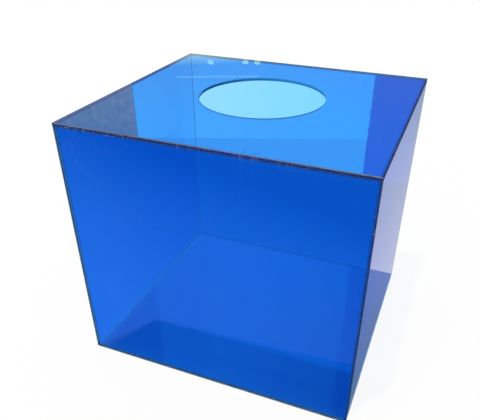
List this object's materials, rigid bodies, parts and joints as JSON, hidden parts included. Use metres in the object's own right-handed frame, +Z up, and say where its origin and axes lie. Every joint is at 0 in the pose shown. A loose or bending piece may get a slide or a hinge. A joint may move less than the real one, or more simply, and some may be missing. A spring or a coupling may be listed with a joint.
{
  "type": "donation box",
  "caption": "Clear blue acrylic donation box of flat bonded panels, with a round hand hole in the top for putting in and taking out notes, coins or slips.",
  "frame": {"origin": "middle of the footprint, on the surface the box stands on", "axes": "+X to the right along the front, the front panel faces -Y, +Z up out of the hand hole"},
  "size_m": [0.3, 0.275, 0.275],
  "materials": {
    "acrylic": "polished transparent blue-tinted acrylic"
  },
  "bodies": {
    "root": {"top_panel": "acrylic", "front_panel": "acrylic", "back_panel": "acrylic", "left_panel": "acrylic", "right_panel": "acrylic", "bottom_panel": "acrylic"}
  },
  "joints": []
}
